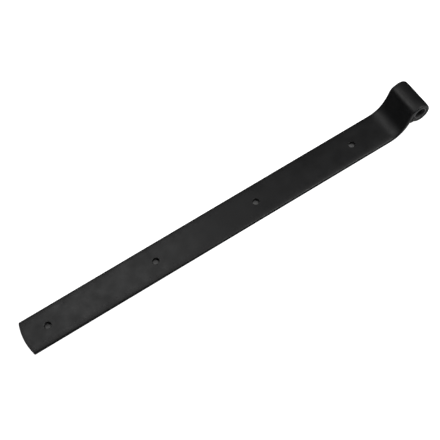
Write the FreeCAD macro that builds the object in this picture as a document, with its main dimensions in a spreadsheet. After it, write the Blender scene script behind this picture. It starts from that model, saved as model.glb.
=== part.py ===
"""Cranked strap of a hook-and-band door hinge, in millimetres.

One flat steel bar is drilled, cranked and rolled into an eye, a weld run closes the eye, and a
split liner bush sits in it. The origin is the middle of the eye, on the axis of the hook's pin.
+X runs along the strap towards the eye, +Y along the pin and +Z from the back to the front.
"""
import FreeCAD, Part
import math
import os

import Sketcher
from FreeCAD import Vector

doc = FreeCAD.newDocument("band_hinge_strap")

# ---------------------------------------------------------------- driving dimensions

SIZES = [
    ("strap_width", 38.0, "width of the bar, along the pin"),
    ("strap_thickness", 4.0, "thickness of the bar"),
    ("strap_reach", 450.0, "pin axis to the middle of the tip"),
    ("tip_radius", 64.0, "radius of the arc that ends the strap"),
    ("tip_corner", 0.8, "rounding of the tip's two corners"),
    ("edge_radius", 1.2, "rounding of the bar's long edges"),
    ("pin_height", 21.5, "pin axis above the back face"),
    ("crank_angle", 58.0, "slope of the cranked run, in degrees"),
    ("crank_radius", 22.0, "radius of the crank's bend, on the front face"),
    ("hole_diameter", 7.0, "fixing holes"),
    ("tip_hole_inset", 26.5, "middle of the tip to the first hole"),
    ("tip_pitch", 121.0, "first hole to the second"),
    ("middle_pitch", 116.5, "second hole to the third"),
    ("eye_hole_inset", 70.0, "pin axis to the last hole"),
    ("pin_bore", 12.2, "bore of the liner bush, for a 12 mm pin"),
    ("bush_wall", 1.0, "wall of the liner bush"),
    ("bush_clearance", 0.05, "radial running clearance of the bush in the eye"),
    ("bush_recess", 0.5, "how far each end of the bush sits inside the eye"),
    ("bush_split", 0.6, "width of the split along the bush"),
    ("bush_chamfer", 0.25, "chamfer on the ends of the bush"),
    ("seam_gap", 0.25, "gap between the end of the roll and the back of the bar"),
    ("seam_nose", 0.974, "thickness left at the roll's end, where its scarf is blunted"),
    ("weld_leg", 4.5, "leg of the weld on the back of the bar"),
    ("weld_wrap", 38.0, "how far the weld reaches round the eye, in degrees"),
    ("weld_crown", 8.0, "radius of the weld's rounded face"),
    ("weld_inset", 0.6, "how far each end of the weld stops short of the edge"),
]

sheet = doc.addObject("Spreadsheet::Sheet", "sizes")
for row, (alias, number, note) in enumerate(SIZES, start=1):
    sheet.set(f"A{row}", alias)
    sheet.set(f"B{row}", str(number))
    sheet.set(f"C{row}", note)
    sheet.setAlias(f"B{row}", alias)
doc.recompute()

EYE_INNER = "sizes.pin_bore / 2 + sizes.bush_wall + sizes.bush_clearance"
EYE_OUTER = EYE_INNER + " + sizes.strap_thickness"


def size(alias):
    """A driving dimension, read from the sheet."""
    return float(sheet.get(alias))


eye_inner = size("pin_bore") / 2 + size("bush_wall") + size("bush_clearance")
eye_outer = eye_inner + size("strap_thickness")
slope = math.radians(size("crank_angle"))


def on_slope(along, out):
    """A point given along the cranked run and out towards its front, from the pin axis."""
    return Vector(
        along * math.cos(slope) - out * math.sin(slope),
        along * math.sin(slope) + out * math.cos(slope),
        0,
    )


def polar(centre, radius, angle):
    """The point on a circle at an angle in radians."""
    return centre + Vector(radius * math.cos(angle), radius * math.sin(angle), 0)


# ---------------------------------------------------------------- helpers for sketches

START, END, CENTRE = 1, 2, 3
CLOSE = 0.01
ROOT = (-1, 1)
X_AXIS = -1


def new_body(name):
    """An empty body whose label names the sub-part."""
    body = doc.addObject("PartDesign::Body", name)
    body.Label = name
    return body


def new_sketch(body, role, name):
    """A sketch on one of the body's own origin planes."""
    plane = next(p for p in body.Origin.OriginFeatures if p.Role == role)
    sketch = body.newObject("Sketcher::SketchObject", name)
    sketch.AttachmentSupport = [(plane, "")]
    sketch.MapMode = "FlatFace"
    return sketch


def line(start, end):
    """A straight edge for a sketch."""
    return Part.LineSegment(start, end)


def arc(centre, radius, first, last):
    """An anticlockwise arc for a sketch, between two angles in radians."""
    circle = Part.Circle(centre, Vector(0, 0, 1), radius)
    return Part.ArcOfCircle(circle, first, last)


def relate(sketch, *args):
    """Add a constraint that has no size."""
    return sketch.addConstraint(Sketcher.Constraint(*args))


def dimension(sketch, name, formula, *args):
    """Add a named constraint and bind its size to a formula on the sheet."""
    sketch.renameConstraint(relate(sketch, *args), name)
    sketch.setExpression(f"Constraints.{name}", formula)


def pad_both_ways(body, sketch, name, formula):
    """Pad a sketch by half of a length to each side of its plane."""
    pad = body.newObject("PartDesign::Pad", name)
    pad.Profile = sketch
    pad.SideType = "Symmetric"
    pad.setExpression("Length", formula)
    doc.recompute()
    return pad


def cut_both_ways(body, sketch, name):
    """Cut a sketch right through the body, to both sides of its plane."""
    before = body.Shape.Volume
    pocket = body.newObject("PartDesign::Pocket", name)
    pocket.Profile = sketch
    pocket.SideType = "Symmetric"
    pocket.Type = "ThroughAll"
    doc.recompute()
    if body.Shape.Volume >= before:
        raise RuntimeError(f"{name} cuts nothing")
    return pocket


# ---------------------------------------------------------------- strap

strap = new_body("strap")


def strap_profile():
    """The bar seen from the side: flat, bent up by the crank, then rolled round the pin axis."""
    sketch = new_sketch(strap, "XZ_Plane", "strap_profile")
    thickness = size("strap_thickness")
    bend = size("crank_radius")
    back = -size("pin_height")
    front = back + thickness
    tip = -size("strap_reach")
    run = ((eye_outer + bend) * math.cos(slope) - bend - front) / math.sin(slope)
    bend_centre = on_slope(-run, eye_outer + bend)
    flat_end = bend_centre.x
    down = -math.pi / 2

    # the end of the roll: cut parallel to the back of the cranked run, with a blunt nose
    scarf = eye_inner - size("seam_gap")
    nose_height = scarf - size("seam_nose")
    nose = math.sqrt(eye_inner**2 - nose_height**2)
    nose_angle = slope + math.atan2(nose_height, -nose)
    scarf_edge = math.sqrt(eye_outer**2 - scarf**2)
    scarf_angle = slope + math.atan2(scarf, -scarf_edge)
    roll_start = slope + math.pi / 2 + 2 * math.pi

    edges = [
        line(Vector(tip, back, 0), Vector(flat_end, back, 0)),
        arc(bend_centre, bend + thickness, down, down + slope),
        line(on_slope(-run, eye_inner), on_slope(0, eye_inner)),
        arc(Vector(), eye_inner, nose_angle, roll_start),
        line(on_slope(-nose, nose_height), on_slope(-nose, scarf)),
        line(on_slope(-nose, scarf), on_slope(-scarf_edge, scarf)),
        arc(Vector(), eye_outer, scarf_angle, roll_start),
        line(on_slope(0, eye_outer), on_slope(-run, eye_outer)),
        arc(bend_centre, bend, down, down + slope),
        line(Vector(flat_end, front, 0), Vector(tip, front, 0)),
        line(Vector(tip, front, 0), Vector(tip, back, 0)),
    ]
    names = (
        "flat_back bend_back run_back bore nose scarf roll run_front bend_front flat_front tip"
    ).split()
    edge = dict(zip(names, sketch.addGeometry(edges, False)))

    smooth = [
        ("flat_back", END, "bend_back", START),
        ("bend_back", END, "run_back", START),
        ("run_back", END, "bore", END),
        ("roll", END, "run_front", START),
        ("run_front", END, "bend_front", END),
        ("bend_front", START, "flat_front", START),
    ]
    corners = [
        ("bore", START, "nose", START),
        ("nose", END, "scarf", START),
        ("scarf", END, "roll", START),
        ("flat_front", END, "tip", START),
        ("tip", END, "flat_back", START),
        ("bend_back", CENTRE, "bend_front", CENTRE),
    ]
    for kind, joints in (("Tangent", smooth), ("Coincident", corners)):
        for first, first_end, second, second_end in joints:
            relate(sketch, kind, edge[first], first_end, edge[second], second_end)
    for name in ("bore", "roll"):
        relate(sketch, "Coincident", edge[name], CENTRE, *ROOT)
    for name in ("flat_back", "flat_front"):
        relate(sketch, "Horizontal", edge[name])
    relate(sketch, "Vertical", edge["tip"])
    relate(sketch, "Parallel", edge["run_back"], edge["run_front"])
    relate(sketch, "Parallel", edge["run_back"], edge["scarf"])
    relate(sketch, "Perpendicular", edge["run_back"], edge["nose"])

    def gauge(name, formula, *args):
        dimension(sketch, name, formula, *args)

    gauge("slope", "sizes.crank_angle * 1 deg", "Angle", edge["run_back"], slope)
    gauge("bend", "sizes.crank_radius", "Radius", edge["bend_front"], bend)
    gauge("bore", EYE_INNER, "Radius", edge["bore"], eye_inner)
    gauge("roll", EYE_OUTER, "Radius", edge["roll"], eye_outer)
    start_of_back = (edge["flat_back"], START)
    gauge("height", "sizes.pin_height", "DistanceY", *start_of_back, *ROOT, -back)
    gauge("reach", "sizes.strap_reach", "DistanceX", *start_of_back, *ROOT, -tip)
    end_of_run = (edge["run_back"], END)
    gauge("gap", "sizes.seam_gap", "Distance", *end_of_run, edge["scarf"], size("seam_gap"))
    gauge("nose", "sizes.seam_nose", "Distance", edge["nose"], size("seam_nose"))
    return sketch


pad_both_ways(strap, strap_profile(), "rolled_bar", "sizes.strap_width")


def tip_outline():
    """What is cut off the tip: all that lies outside one shallow arc across the bar."""
    sketch = new_sketch(strap, "XY_Plane", "tip_outline")
    spare = 5.0
    reach = size("strap_reach")
    radius = size("tip_radius")
    half = size("strap_width") / 2 + spare
    centre = Vector(radius - reach, 0, 0)
    spread = math.asin(half / radius)
    shoulder = centre.x - radius * math.cos(spread)
    far = -reach - spare
    edges = [
        arc(centre, radius, math.pi - spread, math.pi + spread),
        line(Vector(shoulder, -half, 0), Vector(far, -half, 0)),
        line(Vector(far, -half, 0), Vector(far, half, 0)),
        line(Vector(far, half, 0), Vector(shoulder, half, 0)),
    ]
    curve, low, end, high = sketch.addGeometry(edges, False)
    relate(sketch, "Coincident", curve, END, low, START)
    relate(sketch, "Coincident", low, END, end, START)
    relate(sketch, "Coincident", end, END, high, START)
    relate(sketch, "Coincident", high, END, curve, START)
    relate(sketch, "Horizontal", low)
    relate(sketch, "Horizontal", high)
    relate(sketch, "Vertical", end)
    relate(sketch, "PointOnObject", curve, CENTRE, X_AXIS)
    dimension(sketch, "radius", "sizes.tip_radius", "Radius", curve, radius)
    dimension(
        sketch, "middle", "sizes.strap_reach - sizes.tip_radius",
        "DistanceX", curve, CENTRE, *ROOT, reach - radius,
    )
    half_width = f"sizes.strap_width / 2 + {spare}"
    dimension(sketch, "above", half_width, "DistanceY", *ROOT, high, START, half)
    dimension(sketch, "below", half_width, "DistanceY", low, START, *ROOT, half)
    dimension(
        sketch, "far", f"sizes.strap_reach + {spare}",
        "DistanceX", end, START, *ROOT, -far,
    )
    return sketch


cut_both_ways(strap, tip_outline(), "tip_arc")


def fixing_holes():
    """The row of holes along the middle of the flat, each placed by its distance from the pin."""
    sketch = new_sketch(strap, "XY_Plane", "fixing_holes")
    radius = size("hole_diameter") / 2
    from_tip = size("strap_reach") - size("tip_hole_inset")
    second = from_tip - size("tip_pitch")
    third = second - size("middle_pitch")
    tip_hole = "sizes.strap_reach - sizes.tip_hole_inset"
    second_hole = tip_hole + " - sizes.tip_pitch"
    places = [
        ("tip_hole", from_tip, tip_hole),
        ("second_hole", second, second_hole),
        ("third_hole", third, second_hole + " - sizes.middle_pitch"),
        ("eye_hole", size("eye_hole_inset"), "sizes.eye_hole_inset"),
    ]
    for name, inset, formula in places:
        circle = Part.Circle(Vector(-inset, 0, 0), Vector(0, 0, 1), radius)
        hole = sketch.addGeometry(circle, False)
        relate(sketch, "PointOnObject", hole, CENTRE, X_AXIS)
        dimension(sketch, name, formula, "DistanceX", hole, CENTRE, *ROOT, inset)
        bore = name + "_radius"
        dimension(sketch, bore, "sizes.hole_diameter / 2", "Radius", hole, radius)
    return sketch


drilled_bar = cut_both_ways(strap, fixing_holes(), "drilled_bar")


def edge_names(shape, wanted):
    """The names of the edges that a test picks out."""
    return [f"Edge{n}" for n, edge in enumerate(shape.Edges, start=1) if wanted(edge)]


def at_tip_corner(edge):
    """An upright edge where the tip's arc meets a side of the bar."""
    box = edge.BoundBox
    upright = box.ZLength > size("strap_thickness") - CLOSE and box.XLength < CLOSE
    return upright and abs(box.YMin) > size("strap_width") / 2 - CLOSE


def on_a_side(edge):
    """An edge in a side of the bar that runs along it or round the eye, not at the seam."""
    box = edge.BoundBox
    in_side = box.YLength < CLOSE and abs(abs(box.YMin) - size("strap_width") / 2) < CLOSE
    return in_side and edge.Length > 2 * size("strap_thickness")


def round_edges(base, name, wanted, alias):
    """Round the edges of the strap that a test picks out."""
    fillet = strap.newObject("PartDesign::Fillet", name)
    fillet.Base = (base, edge_names(base.Shape, wanted))
    fillet.setExpression("Radius", f"sizes.{alias}")
    doc.recompute()
    return fillet


rounded_tip = round_edges(drilled_bar, "rounded_tip", at_tip_corner, "tip_corner")
round_edges(rounded_tip, "rounded_edges", on_a_side, "edge_radius")

# ---------------------------------------------------------------- weld that closes the eye

eye_weld = new_body("eye_weld")


def weld_section():
    """The bead between the back of the cranked run and the outside of the roll."""
    sketch = new_sketch(eye_weld, "XZ_Plane", "weld_section")
    gap = size("seam_gap")
    scarf = eye_inner - gap
    root = -math.sqrt(eye_outer**2 - scarf**2)
    wrap = math.radians(size("weld_wrap"))
    toe = on_slope(root - size("weld_leg"), eye_inner)
    low = math.atan2(scarf, root) + slope
    crown = size("weld_crown")
    other_toe = polar(Vector(), eye_outer, low + wrap)

    # the face bulges away from the notch, between the two toes
    chord = toe - other_toe
    middle = (toe + other_toe) / 2
    inward = Vector(chord.y, -chord.x, 0)
    if inward * (on_slope(root, eye_inner) - middle) < 0:
        inward = -inward
    inward.normalize()
    depth = math.sqrt(crown**2 - (chord.Length / 2) ** 2)
    face_centre = middle + inward * depth
    to_toe = toe - face_centre
    to_other = other_toe - face_centre
    toe_angle = math.atan2(to_toe.y, to_toe.x)
    other_angle = math.atan2(to_other.y, to_other.x)
    while other_angle < toe_angle:
        other_angle += 2 * math.pi

    edges = [
        line(toe, on_slope(root, eye_inner)),
        line(on_slope(root, eye_inner), on_slope(root, scarf)),
        arc(Vector(), eye_outer, low, low + wrap),
        arc(face_centre, crown, toe_angle, other_angle),
    ]
    leg, across, on_roll, face = sketch.addGeometry(edges, False)
    relate(sketch, "Coincident", leg, END, across, START)
    relate(sketch, "Coincident", across, END, on_roll, START)
    relate(sketch, "Coincident", on_roll, END, face, END)
    relate(sketch, "Coincident", face, START, leg, START)
    relate(sketch, "Coincident", on_roll, CENTRE, *ROOT)
    relate(sketch, "Perpendicular", leg, across)
    dimension(sketch, "roll", EYE_OUTER, "Radius", on_roll, eye_outer)
    dimension(sketch, "slope", "sizes.crank_angle * 1 deg", "Angle", leg, slope)
    dimension(sketch, "back", EYE_INNER, "Distance", *ROOT, leg, eye_inner)
    dimension(sketch, "gap", "sizes.seam_gap", "Distance", across, gap)
    dimension(sketch, "leg", "sizes.weld_leg", "Distance", leg, size("weld_leg"))
    dimension(sketch, "crown", "sizes.weld_crown", "Radius", face, crown)
    dimension(sketch, "wrap", "sizes.weld_wrap * 1 deg", "Angle", on_roll, wrap)
    return sketch


pad_both_ways(
    eye_weld, weld_section(), "weld_bead", "sizes.strap_width - 2 * sizes.weld_inset"
)

# ---------------------------------------------------------------- liner bush

eye_bush = new_body("eye_bush")


def bush_ring():
    """The section of the bush across the pin."""
    sketch = new_sketch(eye_bush, "XZ_Plane", "bush_ring")
    inner = size("pin_bore") / 2
    outer = inner + size("bush_wall")
    rings = (
        ("inner", inner, "sizes.pin_bore / 2"),
        ("outer", outer, "sizes.pin_bore / 2 + sizes.bush_wall"),
    )
    for name, radius, formula in rings:
        ring = sketch.addGeometry(Part.Circle(Vector(), Vector(0, 0, 1), radius), False)
        relate(sketch, "Coincident", ring, CENTRE, *ROOT)
        dimension(sketch, name, formula, "Radius", ring, radius)
    return sketch


bush_sleeve = pad_both_ways(
    eye_bush, bush_ring(), "bush_sleeve", "sizes.strap_width - 2 * sizes.bush_recess"
)
end_edges = edge_names(bush_sleeve.Shape, lambda edge: edge.BoundBox.YLength < CLOSE)
bush_ends = eye_bush.newObject("PartDesign::Chamfer", "bush_ends")
bush_ends.Base = (bush_sleeve, end_edges)
bush_ends.setExpression("Size", "sizes.bush_chamfer")
doc.recompute()


def split_outline():
    """A narrow slot through the top of the bush only, from the pin axis outwards."""
    sketch = new_sketch(eye_bush, "XZ_Plane", "split_outline")
    half = size("bush_split") / 2
    top = size("pin_bore")
    corners = [Vector(-half, 0, 0), Vector(half, 0, 0), Vector(half, top, 0), Vector(-half, top, 0)]
    edges = [line(a, b) for a, b in zip(corners, corners[1:] + corners[:1])]
    bottom, right, upper, left = sketch.addGeometry(edges, False)
    relate(sketch, "Coincident", bottom, END, right, START)
    relate(sketch, "Coincident", right, END, upper, START)
    relate(sketch, "Coincident", upper, END, left, START)
    relate(sketch, "Coincident", left, END, bottom, START)
    relate(sketch, "Horizontal", bottom)
    relate(sketch, "Horizontal", upper)
    relate(sketch, "Vertical", right)
    relate(sketch, "Symmetric", bottom, START, bottom, END, *ROOT)
    dimension(sketch, "width", "sizes.bush_split", "Distance", bottom, 2 * half)
    dimension(sketch, "top", "sizes.pin_bore", "Distance", right, top)
    return sketch


cut_both_ways(eye_bush, split_outline(), "bush_gap")

# ---------------------------------------------------------------- check and write

doc.recompute()
for item in doc.Objects:
    if {"Invalid", "Error"} & set(item.State):
        raise RuntimeError(f"{item.Label} did not build: {item.State}")

os.makedirs("parts", exist_ok=True)
for body in (strap, eye_weld, eye_bush):
    shape = body.Shape
    if shape.isNull() or not shape.isValid() or len(shape.Solids) != 1:
        raise RuntimeError(f"{body.Label} is not one valid solid")
    shape.exportStep(f"parts/{body.Label}.step")
    box = shape.BoundBox
    print(
        f"{body.Label}: {shape.Volume / 1000:.2f} cm3, "
        f"{box.XLength:.2f} x {box.YLength:.2f} x {box.ZLength:.2f} mm"
    )
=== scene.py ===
"""Cranked strap of a hook-and-band door hinge, black powder coated, lying on its back.

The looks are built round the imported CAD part, in its own frame and in metres: the origin is the
middle of the eye, +X runs along the strap towards the eye, +Y along the pin and +Z to the front.
"""
import math

import bmesh
import bpy
import numpy as np
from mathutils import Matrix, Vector


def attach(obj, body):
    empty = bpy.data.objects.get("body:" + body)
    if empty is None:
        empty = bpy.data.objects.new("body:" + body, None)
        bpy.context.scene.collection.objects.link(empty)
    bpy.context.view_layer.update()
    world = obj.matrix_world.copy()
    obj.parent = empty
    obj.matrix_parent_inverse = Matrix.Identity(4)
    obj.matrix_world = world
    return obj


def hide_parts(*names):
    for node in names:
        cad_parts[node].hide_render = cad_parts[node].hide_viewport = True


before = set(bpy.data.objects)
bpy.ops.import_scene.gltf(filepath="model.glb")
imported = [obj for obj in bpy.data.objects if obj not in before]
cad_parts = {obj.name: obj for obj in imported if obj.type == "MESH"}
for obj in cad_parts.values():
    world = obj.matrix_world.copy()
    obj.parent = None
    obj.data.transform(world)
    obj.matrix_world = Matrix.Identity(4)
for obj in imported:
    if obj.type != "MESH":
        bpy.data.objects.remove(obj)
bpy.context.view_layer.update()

# ---------------------------------------------------------------- strap
# One length of 38 x 4 mm hot rolled bar. Its tip is cropped to a shallow arc, four holes are
# drilled along its middle, and one end is cranked and rolled round a mandrel into the eye. The
# mill leaves its long edges round, and the rim of each hole is eased before the coat goes on.

# sizes, in millimetres, and the crank's angle
WIDTH = 38.0
THICKNESS = 4.0
REACH = 450.0
BACK = -21.5
FRONT = BACK + THICKNESS
TIP_RADIUS = 64.0
TIP_CORNER = 0.8
TIP_EDGE = 0.35
EDGE = 1.2
SLOPE = math.radians(58.0)
BEND = 22.0
SHOULDER = 1.2
SHOULDER_RISE = 12.0
SHOULDER_FALL = 8.5
EYE_IN = 7.15
EYE_OUT = EYE_IN + THICKNESS
SEAM_GAP = 0.25
NOSE = 4.0
HOLES_X = (-423.5, -302.5, -186.0, -70.0)
HOLE_RADIUS = 3.5
FRONT_RIM = 0.3
BACK_RIM = 0.15
UNDULATION = 0.03
CROWN = 0.45
CROWN_START = 13.0

# how closely the rows and columns of its surface lie
PATCH = 11.0
FACE_STEP = 1.0
LONG_STEP = 3.0
OUTER_PLACES = (12.2, 13.4, 14.6, 15.6, 16.4, 17.0, 17.4, 17.68)
EDGE_STEPS = 9
RIM_STEPS = 7
TIP_STEPS = 6
BEND_STEPS = 33
RUN_STEPS = 24
ROLL_STEPS = 90
SCARF_STEPS = 15
TIP_FAN = (0.35, 0.7, 1.0)
NOSE_FAN = (0.5, 1.0)
WALL_FAN = (0.33, 0.66)
CLOSING_IN = (0, 0.2, 0.38, 0.54, 0.68, 0.8, 0.89, 0.95, 1.0)

# a millimetre in metres, and how near two corners lie, in metres, to become one
MM = 0.001
MERGE = 1e-6


def on_slope(along, out):
    """Points (x, z) given along the cranked run and out towards its front, from the pin axis."""
    along, out = np.broadcast_arrays(np.asarray(along, float), np.asarray(out, float))
    x = along * math.cos(SLOPE) - out * math.sin(SLOPE)
    z = along * math.sin(SLOPE) + out * math.cos(SLOPE)
    return np.stack([x, z], -1)


def on_circle(radius, angles):
    """Points (x, z) round the pin axis, at one radius or at one for each angle."""
    return np.stack([radius * np.cos(angles), radius * np.sin(angles)], -1)


def shoulder(past):
    """How far the front stands proud where the run goes over into the roll.

    It is one hump, from the distance past the end of the run: half a cosine up and half a cosine
    down. The mandrel doesn't quite draw the bar in there.
    """
    share = np.where(past < 0, past / SHOULDER_RISE, past / SHOULDER_FALL)
    return SHOULDER * (1 + np.cos(math.pi * np.clip(share, -1, 1))) / 2


def flat_places(bend_start):
    """Places along the flat: 1 mm apart beside each hole, and about 3 mm apart elsewhere."""
    stops = [-REACH]
    for hole in HOLES_X:
        stops += [hole - PATCH, hole + PATCH]
    stops.append(bend_start)
    steps = [LONG_STEP, FACE_STEP] * len(HOLES_X) + [LONG_STEP]
    spans = [
        np.linspace(a, b, round((b - a) / step) + 1)[:-1]
        for a, b, step in zip(stops, stops[1:], steps)
    ]
    return np.concatenate([*spans, [bend_start]])


def bar_from_the_side():
    """The bar seen from the side, as pairs of points (x, z), one on each face.

    The flat is two level lines. The bend is two arcs of one centre. The run is straight at the
    back, and at the front it rises a little to the shoulder. The roll is two circles round the
    pin. The outer one starts with the shoulder's fall, and gives way at its end to a plane along
    the back of the run.
    """
    run = ((EYE_OUT + BEND) * math.cos(SLOPE) - BEND - FRONT) / math.sin(SLOPE)
    centre = on_slope(-run, EYE_OUT + BEND)
    flat_x = flat_places(centre[0])
    level = np.ones_like(flat_x)
    turn = np.linspace(0, SLOPE, BEND_STEPS)[1:]
    ray = np.stack([np.sin(turn), -np.cos(turn)], -1)
    along = np.linspace(-run, 0, RUN_STEPS)[1:]

    scarf = EYE_IN - SEAM_GAP
    scarf_edge = -math.sqrt(EYE_OUT**2 - scarf**2)
    scarf_angle = SLOPE + math.atan2(scarf, scarf_edge) - 2 * math.pi
    nose_angle = SLOPE + math.atan2(math.sqrt(EYE_IN**2 - NOSE**2), -NOSE) - 2 * math.pi
    roll = np.linspace(SLOPE + math.pi / 2, scarf_angle, ROLL_STEPS)[1:]
    share = np.linspace(0, 1, SCARF_STEPS)[1:]
    inner = scarf_angle + share * (nose_angle - scarf_angle)

    front = [
        np.stack([flat_x, FRONT * level], -1),
        centre + BEND * ray,
        on_slope(along, EYE_OUT + shoulder(along)),
        on_circle(EYE_OUT + shoulder(EYE_OUT * (SLOPE + math.pi / 2 - roll)), roll),
        on_slope(scarf_edge + share * (-NOSE - scarf_edge), scarf),
    ]
    back = [
        np.stack([flat_x, BACK * level], -1),
        centre + (BEND + THICKNESS) * ray,
        on_slope(along, EYE_IN),
        on_circle(EYE_IN, roll),
        on_circle(EYE_IN, inner),
    ]
    return np.concatenate(front), np.concatenate(back), len(flat_x)


def bar_section():
    """The bar's section as a closed loop: the place across, the face, and the turn of an edge.

    Both faces carry the same places across, even in the middle and closer at the edges. Each
    edge is a quarter circle, turned from its face, at 0, to the side, at a right angle.
    """
    middle = np.arange(-PATCH, PATCH + FACE_STEP / 2, FACE_STEP)
    outer = np.array(OUTER_PLACES)
    across = np.concatenate([-outer[::-1], middle, outer])
    quarter = np.linspace(0, math.pi / 2, EDGE_STEPS)
    turn = np.concatenate([quarter, [math.pi / 2], quarter[::-1]])
    side_face = np.concatenate([np.ones(EDGE_STEPS), [0.0], -np.ones(EDGE_STEPS)])
    side_y = WIDTH / 2 - EDGE + EDGE * np.sin(turn)
    level = np.zeros(len(across))
    y = np.concatenate([across, side_y, across[::-1], -side_y])
    face = np.concatenate([level + 1, side_face, level - 1, -side_face])
    turn = np.concatenate([level, turn, level, turn])
    return y, face, turn


def grid_quads(rows, columns, closed):
    """The quads of a grid of vertices, row after row. A closed grid joins its ends across."""
    r = np.arange(rows - 1)[:, None]
    c = np.arange(columns if closed else columns - 1)[None, :]
    d = (c + 1) % columns
    corners = (r * columns + c, r * columns + d, (r + 1) * columns + d, (r + 1) * columns + c)
    return np.stack(np.broadcast_arrays(*corners), -1)


def hollow(along, y):
    """How far the front lies below true flat: long shallow waves, and a fall towards each edge.

    The waves are three sines that cross at different slants. The fall grows as the square of the
    way from where it starts to the edge.
    """
    waves = (
        np.sin(along / 23.0 + 0.7 * np.sin(y / 17.0))
        + 0.7 * np.sin(along / 9.1 + y / 13.0 + 1.3)
        + 0.5 * np.sin(along / 5.3 - y / 7.7 + 0.4)
    )
    near_edge = np.clip((np.abs(y) - CROWN_START) / (WIDTH / 2 - CROWN_START), 0, 1)
    return UNDULATION * (1 - waves / 2.2) / 2 + CROWN * near_edge**2


def tip_x(y):
    """The tip's arc, with its two corners rounded: the x of the end at each place across."""
    arc = TIP_RADIUS - REACH - np.sqrt(TIP_RADIUS**2 - y**2)
    into_corner = np.clip(np.abs(y) - (WIDTH / 2 - TIP_CORNER), 0, TIP_CORNER)
    return arc + TIP_CORNER - np.sqrt(TIP_CORNER**2 - into_corner**2)


def bar_surface():
    """The whole bar as one closed grid: rows go along it, and columns go round its section.

    A point is the middle of the two faces, plus its share of the way to one of them, less what the
    round edge and the hollow take off. Rows before the first and after the last draw the section
    in to a line, which closes the tip and the nose.
    """
    front, back, flat_rows = bar_from_the_side()
    y, face, turn = bar_section()
    middle = (front + back) / 2
    half = np.linalg.norm(front - back, axis=1)[:, None] / 2
    outward = (front - back) / (2 * half)
    steps = np.linalg.norm(np.diff(front, axis=0), axis=1)
    along = front[0, 0] + np.concatenate([[0], np.cumsum(steps)])[:, None]

    edge = np.minimum(EDGE, half)
    through = face * (half - edge * (1 - np.cos(turn)))
    through = through - (face > 0) * np.cos(turn) * hollow(along, y) * np.minimum(half / 2, 1)
    x = middle[:, :1] + outward[:, :1] * through
    z = middle[:, 1:] + outward[:, 1:] * through
    across = np.broadcast_to(y, x.shape)

    # the rows before the first hole are drawn out to the tip's arc
    first_patch = HOLES_X[0] - PATCH
    share = np.clip((along + REACH) / (first_patch + REACH), 0, 1)
    end = tip_x(y) + TIP_EDGE
    x = np.where(along < first_patch, end + share * (first_patch - end), x)

    line = np.clip(y, -WIDTH / 2 + THICKNESS / 2, WIDTH / 2 - THICKNESS / 2)

    def drawn_in(row, x_row, inset, share):
        """One more row: the section of a row, inset all round, then drawn in to its middle line."""
        level = middle[row, 1] + (z[row] - middle[row, 1]) * (1 - inset / half[row]) * (1 - share)
        place = y - np.sign(y) * np.sin(turn) * inset
        return x_row, place + share * (line - place), level

    tip = []
    for angle in np.linspace(0, math.pi / 2, TIP_STEPS)[1:]:
        inset = TIP_EDGE * (1 - math.cos(angle))
        tip.append(drawn_in(0, tip_x(y) + TIP_EDGE * (1 - math.sin(angle)), inset, 0))
    for share in TIP_FAN:
        tip.append(drawn_in(0, tip_x(line), TIP_EDGE, share))
    nose = []
    for share in NOSE_FAN:
        x_row = middle[-1, 0] + (x[-1] - middle[-1, 0]) * (1 - share)
        nose.append(drawn_in(-1, x_row, 0, share))

    rows = [np.stack(np.broadcast_arrays(*row), -1) for row in tip[::-1]]
    rows += list(np.stack([x, across, z], -1))
    rows += [np.stack(np.broadcast_arrays(*row), -1) for row in nose]
    grid = np.stack(rows)

    quads = grid_quads(len(grid), len(y), closed=True)
    flat_x = np.full(len(grid), math.inf)
    flat_x[:len(tip)] = -math.inf
    flat_x[len(tip):len(tip) + flat_rows] = front[:flat_rows, 0]
    keep = np.ones(quads.shape[:2], bool)
    on_face = (np.abs(y) < PATCH + 0.1) & (turn == 0)
    in_patch = on_face & np.roll(on_face, -1) & (face == np.roll(face, -1))
    for hole in HOLES_X:
        rows_in = (flat_x[:-1] > hole - PATCH - 0.1) & (flat_x[1:] < hole + PATCH + 0.1)
        keep[np.ix_(rows_in, in_patch)] = False
    return grid.reshape(-1, 3), quads[keep]


def hole_surface(hole):
    """One drilled hole and the square of bar round it. Columns go round it, rows go through it.

    Rows start on the square's outline on the front, close in on the rim in even shares of the way,
    turn down through a quarter circle, follow the wall, turn out again and end on the back.
    """
    span = np.arange(-PATCH, PATCH, FACE_STEP)
    edge = np.full_like(span, PATCH)
    square = np.concatenate([
        np.stack([span, -edge], -1), np.stack([edge, span], -1),
        np.stack([-span, edge], -1), np.stack([-edge, -span], -1),
    ])
    towards = square / np.linalg.norm(square, axis=1)[:, None]
    closing = np.array(CLOSING_IN)[:, None, None]
    quarter = np.linspace(0, math.pi / 2, RIM_STEPS)[1:, None]

    def face_rows(rim, level):
        plan = square + closing * (towards * (HOLE_RADIUS + rim) - square)
        return np.concatenate([plan, np.full((*plan.shape[:2], 1), level)], -1)

    def rim_rows(rim, level, down):
        radius = HOLE_RADIUS + rim * (1 - np.sin(quarter))
        height = level + down * rim * (1 - np.cos(quarter))
        plan = radius[..., None] * towards
        level = np.broadcast_to(height[..., None], (*plan.shape[:2], 1))
        return np.concatenate([plan, level], -1)

    front = np.concatenate([face_rows(FRONT_RIM, FRONT), rim_rows(FRONT_RIM, FRONT, -1)])
    front[..., 2] -= hollow(front[..., 0] + hole, front[..., 1])
    back = np.concatenate([face_rows(BACK_RIM, BACK), rim_rows(BACK_RIM, BACK, 1)])[::-1]
    wall = front[-1] + np.array(WALL_FAN)[:, None, None] * (back[0] - front[-1])
    grid = np.concatenate([front, wall, back])
    grid[..., 0] += hole
    return grid.reshape(-1, 3), grid_quads(grid.shape[0], grid.shape[1], closed=True)


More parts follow.
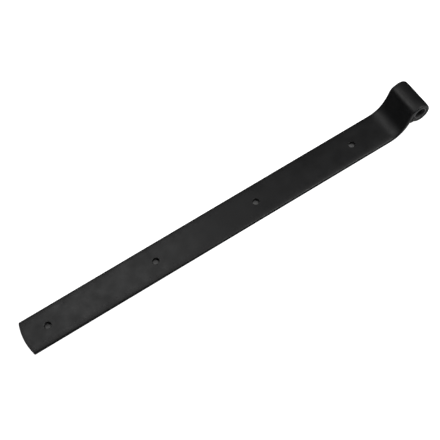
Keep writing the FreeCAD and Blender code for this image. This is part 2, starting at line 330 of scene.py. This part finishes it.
def make_piece(name, surfaces, material):
    """A piece from grids in millimetres: doubles merged, faces outward, smooth, in its material."""
    points = np.concatenate([p for p, _ in surfaces]) * MM
    starts = np.cumsum([0] + [len(p) for p, _ in surfaces[:-1]])
    quads = np.concatenate([q.reshape(-1, 4) + n for (_, q), n in zip(surfaces, starts)])
    mesh = bpy.data.meshes.new(name)
    mesh.from_pydata(points.tolist(), [], quads.tolist())
    work = bmesh.new()
    work.from_mesh(mesh)
    bmesh.ops.remove_doubles(work, verts=work.verts, dist=MERGE)
    bmesh.ops.recalc_face_normals(work, faces=work.faces)
    work.to_mesh(mesh)
    work.free()
    mesh.shade_smooth()
    mesh.materials.append(material)
    piece = bpy.data.objects.new(name, mesh)
    bpy.context.scene.collection.objects.link(piece)
    return piece


TONE_PATCHES = 38
TONE_SPREAD = (0.8, 1.25)
SHEEN_PATCHES = 75
SHEEN_SPREAD = 0.05
PEEL_SCALE = 620
PEEL_HEIGHT = 0.00006
GRAIN_SCALE = 2600
GRAIN_HEIGHT = 0.00002


def coat_material(name, colour, roughness, peel):
    """Black powder coat: an orange-peel skin of two noises, with faint patches of sheen and tone.

    Scales are per metre, and heights are in metres.
    """
    material = bpy.data.materials.new(name)
    material.use_nodes = True
    nodes, links = material.node_tree.nodes, material.node_tree.links
    shader = nodes["Principled BSDF"]
    place = nodes.new("ShaderNodeTexCoord")

    def noise(scale, detail):
        node = nodes.new("ShaderNodeTexNoise")
        node.inputs["Scale"].default_value = scale
        node.inputs["Detail"].default_value = detail
        links.new(place.outputs["Object"], node.inputs["Vector"])
        return node.outputs["Fac"]

    def ramp(value, low, high):
        node = nodes.new("ShaderNodeMapRange")
        node.inputs["From Min"].default_value = 0.3
        node.inputs["From Max"].default_value = 0.7
        node.inputs["To Min"].default_value = low
        node.inputs["To Max"].default_value = high
        links.new(value, node.inputs["Value"])
        return node.outputs["Result"]

    tone = nodes.new("ShaderNodeMix")
    tone.data_type = "RGBA"
    for socket, share in zip("AB", TONE_SPREAD):
        tone.inputs[socket].default_value = (*[c * share for c in colour], 1)
    links.new(ramp(noise(TONE_PATCHES, 3), 0, 1), tone.inputs["Factor"])
    links.new(tone.outputs["Result"], shader.inputs["Base Color"])
    sheen = ramp(noise(SHEEN_PATCHES, 4), roughness - SHEEN_SPREAD, roughness + SHEEN_SPREAD)
    links.new(sheen, shader.inputs["Roughness"])

    def bump(scale, height):
        node = nodes.new("ShaderNodeBump")
        node.inputs["Strength"].default_value = peel
        node.inputs["Distance"].default_value = height
        links.new(noise(scale, 2), node.inputs["Height"])
        return node

    coarse, fine = bump(PEEL_SCALE, PEEL_HEIGHT), bump(GRAIN_SCALE, GRAIN_HEIGHT)
    links.new(coarse.outputs["Normal"], fine.inputs["Normal"])
    links.new(fine.outputs["Normal"], shader.inputs["Normal"])
    return material


COAT = (0.0100, 0.0100, 0.0104)
strap_coat = coat_material("strap_powder_coat", COAT, 0.42, 0.5)
strap = make_piece("strap_bar", [bar_surface(), *map(hole_surface, HOLES_X)], strap_coat)
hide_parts("strap")
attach(strap, "strap_body")

# ---------------------------------------------------------------- weld that closes the eye
# One run of weld in the notch behind the eye, where the end of the roll meets the back of the
# bar. It was laid along the eye in short steps, which leave crescents, and coated with the bar.

WELD_LEG = 4.5
WELD_WRAP = math.radians(38.0)
WELD_CROWN = 8.0
WELD_HALF = 18.4
WELD_END = 1.0
END_FULLNESS = 0.55
LEG_WANDER = 0.10
WRAP_WANDER = 0.12
FACE_BOW = 0.97
RIPPLE_PITCH = 1.5
RIPPLE_DEPTH = 0.16
RIPPLE_LAG = 0.9
RIPPLE_POWER = 6
WELD_ROWS = 261
WELD_COLUMNS = 21


def weld_surface():
    """The bead as a closed grid: rows go along the eye, and columns go round its section.

    Its face is the chord between its two toes, raised by a parabola, less a row of crescents: a
    power of a cosine along the eye whose phase lags in the middle of the face. Its base follows
    the roll and the back of the run. Its size wanders a little along the eye, by two sines, and is
    drawn in at both ends along a quarter ellipse.
    """
    scarf = EYE_IN - SEAM_GAP
    root = -math.sqrt(EYE_OUT**2 - scarf**2)
    low = SLOPE + math.atan2(scarf, root)
    y = np.linspace(-WELD_HALF, WELD_HALF, WELD_ROWS)[:, None]
    into_end = np.clip((np.abs(y) - WELD_HALF + WELD_END) / WELD_END, 0, 1)
    fullness = END_FULLNESS + (1 - END_FULLNESS) * np.sqrt(1 - into_end**2)
    wander = 0.5 + 0.3 * np.sin(y * 0.9) + 0.2 * np.sin(y * 2.3 + 1.0)
    leg = WELD_LEG * (1 - LEG_WANDER * wander) * fullness
    wrap = WELD_WRAP * (1 - WRAP_WANDER * (1 - wander)) * fullness
    toe = on_slope(root - leg, EYE_IN)
    other = on_circle(EYE_OUT, low + wrap)

    u = np.linspace(0, 1, WELD_COLUMNS)[None, :, None]
    chord = other - toe
    length = np.linalg.norm(chord, axis=-1, keepdims=True)
    out = np.stack([chord[..., 1], -chord[..., 0]], -1) / length
    out *= np.sign(np.sum(out * (toe - on_slope(root, EYE_IN)), -1, keepdims=True))
    rise = WELD_CROWN - np.sqrt(WELD_CROWN**2 - (length / 2) ** 2)
    bow = 4 * u * (1 - u)
    phase = (y[..., None] - RIPPLE_LAG * bow) / RIPPLE_PITCH
    ripple = np.abs(np.cos(math.pi * phase)) ** RIPPLE_POWER * RIPPLE_DEPTH * np.sqrt(bow)
    face = toe + u * chord + out * (FACE_BOW * rise * bow - ripple * fullness[..., None])

    v = np.linspace(0, 1, 7)[None, 1:, None]
    on_roll = on_circle(EYE_OUT, (low + wrap) * (1 - v[..., 0]) + low * v[..., 0])
    heel = np.broadcast_to(on_slope(root, EYE_IN), toe.shape)
    on_run = heel + np.linspace(0, 1, 6)[None, :-1, None] * (toe - heel)
    loop = np.concatenate([face, on_roll, on_run], 1)
    across = np.broadcast_to(y[..., None], (*loop.shape[:2], 1))
    grid = np.concatenate([loop[..., :1], across, loop[..., 1:]], -1)
    heart = grid.mean(1, keepdims=True)
    grid = np.concatenate([heart[:1] + 0 * grid[:1], grid, heart[-1:] + 0 * grid[-1:]])
    return grid.reshape(-1, 3), grid_quads(grid.shape[0], grid.shape[1], closed=True)


weld_coat = coat_material("weld_powder_coat", COAT, 0.38, 0.35)
weld = make_piece("eye_weld_bead", [weld_surface()], weld_coat)
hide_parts("eye_weld")
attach(weld, "strap_body")

# ---------------------------------------------------------------- liner bush
# A strip of thin steel rolled into a sleeve, with the split left open, phosphated black and oiled.
# It stays on the hook's pin, and the eye turns round it.

BUSH_IN = 6.1
BUSH_OUT = 7.1
BUSH_HALF = 18.5
BUSH_CHAMFER = 0.25
BUSH_SPLIT = 0.6
CUT_BOW = 0.3
BUSH_ROWS = 121
BUSH_COLUMNS = 60


def bush_surface():
    """The sleeve as a closed grid: rows go round from lip to lip, and columns go round its wall.

    The wall's section is a long rectangle with its corners cut at 45 degrees, and each cut a little
    bowed. The lips of the split stand square to the strip, so a row's angle depends on its radius.
    Each lip closes in on a line halfway through the wall.
    """
    bow = CUT_BOW * BUSH_CHAMFER
    cut = np.array([[0, BUSH_CHAMFER], [bow, bow], [BUSH_CHAMFER, 0]])
    reach = BUSH_HALF - 2 * BUSH_CHAMFER
    length = np.linspace(-reach, reach, BUSH_COLUMNS)
    outside = np.stack([np.full_like(length, BUSH_OUT), length], -1)
    inside = np.stack([np.full_like(length, BUSH_IN), -length], -1)
    high_out = np.array([BUSH_OUT, BUSH_HALF]) - cut
    high_in = np.array([BUSH_IN, BUSH_HALF]) + cut[::-1] * [1, -1]
    low_in = np.array([BUSH_IN, -BUSH_HALF]) + cut
    low_out = np.array([BUSH_OUT, -BUSH_HALF]) + cut[::-1] * [-1, 1]
    loop = np.concatenate([outside, high_out, high_in, inside, low_in, low_out])
    radius, y = loop[:, 0], loop[:, 1]
    lip = np.arcsin(BUSH_SPLIT / 2 / radius)
    turn = np.linspace(0, 1, BUSH_ROWS)[:, None]
    angle = math.pi / 2 + lip + turn * (2 * math.pi - 2 * lip)
    grid = np.stack([radius * np.cos(angle), y + 0 * angle, radius * np.sin(angle)], -1)
    heart_x = np.sign(grid[[0, -1], :, 0]) * BUSH_SPLIT / 2
    heart_y = np.clip(y, BUSH_CHAMFER - BUSH_HALF, BUSH_HALF - BUSH_CHAMFER)
    heart_z = np.full_like(heart_x, math.sqrt((BUSH_IN + BUSH_OUT) ** 2 - BUSH_SPLIT**2) / 2)
    heart = np.stack([heart_x, np.broadcast_to(heart_y, heart_x.shape), heart_z], -1)
    grid = np.concatenate([heart[:1], grid, heart[-1:]])
    return grid.reshape(-1, 3), grid_quads(grid.shape[0], grid.shape[1], closed=True)


PHOSPHATE_DARK = (0.10, 0.10, 0.103)
PHOSPHATE_LIGHT = (0.19, 0.19, 0.195)
PHOSPHATE_ROUGHNESS = (0.30, 0.48)
MOTTLE_SCALE = 420
MARKS_SCALE = (60, 5200, 60)
MARKS_HEIGHT = 0.00002


def bush_material():
    """Oiled phosphate: dark grey steel with fine marks round it and mottled patches of sheen."""
    material = bpy.data.materials.new("phosphated_steel")
    material.use_nodes = True
    nodes, links = material.node_tree.nodes, material.node_tree.links
    shader = nodes["Principled BSDF"]
    shader.inputs["Metallic"].default_value = 0.6
    place = nodes.new("ShaderNodeTexCoord")
    stretch = nodes.new("ShaderNodeMapping")
    stretch.inputs["Scale"].default_value = MARKS_SCALE
    links.new(place.outputs["Object"], stretch.inputs["Vector"])
    lines = nodes.new("ShaderNodeTexNoise")
    lines.inputs["Scale"].default_value = 1.0
    lines.inputs["Detail"].default_value = 3
    links.new(stretch.outputs["Vector"], lines.inputs["Vector"])
    mottle = nodes.new("ShaderNodeTexNoise")
    mottle.inputs["Scale"].default_value = MOTTLE_SCALE
    mottle.inputs["Detail"].default_value = 4
    links.new(place.outputs["Object"], mottle.inputs["Vector"])
    tone = nodes.new("ShaderNodeMix")
    tone.data_type = "RGBA"
    tone.inputs["A"].default_value = (*PHOSPHATE_DARK, 1)
    tone.inputs["B"].default_value = (*PHOSPHATE_LIGHT, 1)
    links.new(mottle.outputs["Fac"], tone.inputs["Factor"])
    links.new(tone.outputs["Result"], shader.inputs["Base Color"])
    gloss = nodes.new("ShaderNodeMapRange")
    gloss.inputs["To Min"].default_value, gloss.inputs["To Max"].default_value = PHOSPHATE_ROUGHNESS
    links.new(mottle.outputs["Fac"], gloss.inputs["Value"])
    links.new(gloss.outputs["Result"], shader.inputs["Roughness"])
    bump = nodes.new("ShaderNodeBump")
    bump.inputs["Strength"].default_value = 0.35
    bump.inputs["Distance"].default_value = MARKS_HEIGHT
    links.new(lines.outputs["Fac"], bump.inputs["Height"])
    links.new(bump.outputs["Normal"], shader.inputs["Normal"])
    return material


bush = make_piece("eye_bush_sleeve", [bush_surface()], bush_material())
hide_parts("eye_bush")
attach(bush, "bush_body")

# ---------------------------------------------------------------- floor
# A white light table, which glows and so shows hardly any shadow. Under the strap lies a strip of
# dark grey sheet, painted shade that stands in for the table in the strap's shadow; it shows only
# through the strap's holes. Neither is part of the hinge.

FLOOR_GAP = 0.4
TABLE_HALF = 1500
TABLE_TONE = 0.8
TABLE_GLOW = 1.02
# height and grey of the sheet of painted shade under the strap
SHADE_SHEET_LIFT = 0.3
SHADE_SHEET_TONE = 0.2
SHEET_PLACES = 5
SHEET_ROUGHNESS = 0.9
SHEET_SHINE = 0.1


def sheet_piece(name, corner, side, other_side, tone, glow):
    """A flat rectangle from one corner and its two sides, in matt grey that may glow."""
    share = np.linspace(0, 1, SHEET_PLACES)
    u, v = np.meshgrid(share, share)
    points = np.asarray(corner) + u[..., None] * side + v[..., None] * other_side
    mesh = bpy.data.meshes.new(name)
    quads = grid_quads(SHEET_PLACES, SHEET_PLACES, closed=False).reshape(-1, 4)
    mesh.from_pydata((points.reshape(-1, 3) * MM).tolist(), [], quads.tolist())
    material = bpy.data.materials.new(name + "_finish")
    material.use_nodes = True
    shader = material.node_tree.nodes["Principled BSDF"]
    shader.inputs["Base Color"].default_value = (tone, tone, tone, 1)
    shader.inputs["Roughness"].default_value = SHEET_ROUGHNESS
    shader.inputs["Specular IOR Level"].default_value = SHEET_SHINE
    shader.inputs["Emission Color"].default_value = (1, 1, 1, 1)
    shader.inputs["Emission Strength"].default_value = glow
    mesh.materials.append(material)
    sheet = bpy.data.objects.new(name, mesh)
    bpy.context.scene.collection.objects.link(sheet)
    return sheet


def level_sheet(name, x, y, lift, tone, glow):
    """A level rectangle at a height above the table, from its reach in x and in y."""
    corner = (x[0], y[0], BACK - FLOOR_GAP + lift)
    return sheet_piece(name, corner, (x[1] - x[0], 0, 0), (0, y[1] - y[0], 0), tone, glow)


whole = (-TABLE_HALF, TABLE_HALF)
table = level_sheet("table", whole, whole, 0.0, TABLE_TONE, TABLE_GLOW)
table.visible_glossy = False
# painted shade: a dark sheet under the strap, where the table would lie in the strap's shadow
level_sheet("shade_sheet", (-444, -42), (-15, 15), SHADE_SHEET_LIFT, SHADE_SHEET_TONE, 0)

# ---------------------------------------------------------------- light
# Five soft boxes stand high over the strap, and the largest makes the sheen of its coat. Round it
# stand pale panels and a card, which light nothing and which only the gloss of the coat picks up.

SOFT_BOXES = (
    # name, place and aim in metres, size, power
    ("high_box", (-0.38, 0.53, 1.06), (-0.2, 0, 0), (0.48, 0.35), 1.65),
    ("left_box", (-0.80, 0.50, 0.95), (-0.1, 0, 0), (0.35, 0.35), 0.3),
    ("right_box", (0.32, 0.42, 1.04), (-0.1, 0, 0), (0.35, 0.35), 0.06),
    ("front_box", (0.64, -0.30, 0.80), (-0.2, 0, 0), (0.35, 0.35), 2.6),
    ("side_box", (0.20, -0.20, 1.12), (-0.1, 0, 0), (0.30, 0.30), 3.4),
)
PANELS = (
    # name, corner and two sides in millimetres, glow
    ("front_panel", (-1400, -1000, -20), (1150, 0, 0), (0, 0, 600), 0.4),
    ("back_panel", (-900, 1200, -20), (1400, 0, 0), (0, 0, 480), 0.4),
    ("eye_panel", (1200, -900, -20), (0, 800, 0), (0, 0, 600), 0.5),
    ("corner_panel", (600, -1300, -20), (900, 900, 0), (0, 0, 600), 0.5),
    ("tip_panel", (-1600, -900, -20), (0, 800, 0), (0, 0, 600), 0.4),
)
CARD_LIFT = 0.1
CARD_GLOW = 0.5
ROOM_GLOW = 1.05


def soft_box(name, place, aim, size, power):
    """A rectangular lamp at a place, in metres, that faces a point of the strap."""
    lamp = bpy.data.lights.new(name, "AREA")
    lamp.shape = "RECTANGLE"
    lamp.size, lamp.size_y = size
    lamp.energy = power
    box = bpy.data.objects.new(name, lamp)
    box.location = place
    box.rotation_euler = (Vector(place) - Vector(aim)).to_track_quat("Z", "Y").to_euler()
    bpy.context.scene.collection.objects.link(box)


def mirrored_only(sheet):
    """Leave a sheet to be seen in the gloss alone."""
    sheet.visible_camera = False
    sheet.visible_diffuse = False
    sheet.visible_transmission = False
    sheet.visible_shadow = False


for lamp_row in SOFT_BOXES:
    soft_box(*lamp_row)
mirrored_only(level_sheet("card", (-160, 90), (-170, -26), CARD_LIFT, 0.0, CARD_GLOW))
for name, corner, side, upright, glow in PANELS:
    mirrored_only(sheet_piece(name, corner, side, upright, 0.0, glow))
world = bpy.data.worlds.new("room")
world.use_nodes = True
room = world.node_tree.nodes["Background"]
room.inputs["Color"].default_value = (1.0, 1.0, 1.0, 1)
room.inputs["Strength"].default_value = ROOM_GLOW
world.cycles_visibility.glossy = False
world.cycles_visibility.diffuse = False
bpy.context.scene.world = world
bpy.context.scene.view_settings.view_transform = "Standard"

# ---------------------------------------------------------------- camera
# It looks down on the strap from in front, with the eye at the upper right.

lens = bpy.data.cameras.new("camera")
lens.lens = 69.632
lens.sensor_width = 36.0
lens.clip_start = 0.01
camera = bpy.data.objects.new("camera", lens)
camera.location = (-0.34346, -0.38107, 0.73168)
camera.rotation_euler = [math.radians(a) for a in (27.2674, 7.3366, -30.8535)]
bpy.context.scene.collection.objects.link(camera)
bpy.context.scene.camera = camera
